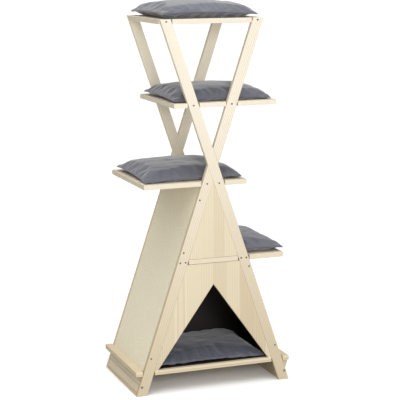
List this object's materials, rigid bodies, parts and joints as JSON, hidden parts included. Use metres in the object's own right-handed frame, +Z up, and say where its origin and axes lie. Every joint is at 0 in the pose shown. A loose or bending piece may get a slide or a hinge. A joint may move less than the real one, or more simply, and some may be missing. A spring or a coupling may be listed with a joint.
{
  "type": "cat tree",
  "caption": "Tall wooden cat tree with crossed slat frames, stepped shelves with cushions, a triangular cave with an pointed entrance and a woven scratching side.",
  "frame": {"origin": "on the floor, in the middle of the four feet", "axes": "+Z up, +X to the right seen from the entrance side, +Y from the entrance side to the back"},
  "size_m": [0.644, 0.418, 1.4903],
  "materials": {
    "slat_pine": "satin",
    "board_pine": "satin",
    "panel_pine": "satin",
    "dowel_wood": "matte",
    "sisal_weave": "woven, matte",
    "cushion_fabric": "matte",
    "screw_steel": "satin",
    "bolt_steel": "satin"
  },
  "bodies": {
    "tree": {"back_lower_panel": "panel_pine", "back_panel_dowels": "dowel_wood", "back_slat_left_foot": "slat_pine", "back_slat_right_foot": "slat_pine", "back_upper_panel": "panel_pine", "floor_board": "board_pine", "foot_bolts": "bolt_steel", "front_lower_panel": "panel_pine", "front_panel_dowels": "dowel_wood", "front_slat_left_foot": "slat_pine", "front_slat_right_foot": "slat_pine", "front_upper_panel": "panel_pine", "left_base_board": "board_pine", "middle_shelf": "board_pine", "right_base_board": "board_pine", "right_side_panel": "panel_pine", "scratch_mat": "sisal_weave", "scratch_panel": "panel_pine", "side_shelf": "board_pine", "slat_screws": "screw_steel", "top_shelf": "board_pine", "upper_shelf": "board_pine"},
    "cave_cushion_body": {"cave_cushion": "cushion_fabric"},
    "middle_cushion_body": {"middle_cushion": "cushion_fabric"},
    "side_cushion_body": {"side_cushion": "cushion_fabric"},
    "top_cushion_body": {"top_cushion": "cushion_fabric"},
    "upper_cushion_body": {"upper_cushion": "cushion_fabric"}
  },
  "joints": [
    {"name": "top_cushion_lift", "type": "slide", "parent": "tree", "child": "top_cushion_body", "axis": [0, 0, 1], "range_m": [0, 0.12]},
    {"name": "upper_cushion_lift", "type": "slide", "parent": "tree", "child": "upper_cushion_body", "axis": [0, 0, 1], "range_m": [0, 0.12]},
    {"name": "middle_cushion_lift", "type": "slide", "parent": "tree", "child": "middle_cushion_body", "axis": [0, 0, 1], "range_m": [0, 0.12]},
    {"name": "side_cushion_lift", "type": "slide", "parent": "tree", "child": "side_cushion_body", "axis": [0.3186, 0, 0.9479], "range_m": [0, 0.12]},
    {"name": "cave_cushion_lift", "type": "slide", "parent": "tree", "child": "cave_cushion_body", "axis": [0, 0, 1], "range_m": [0, 0.05]}
  ]
}
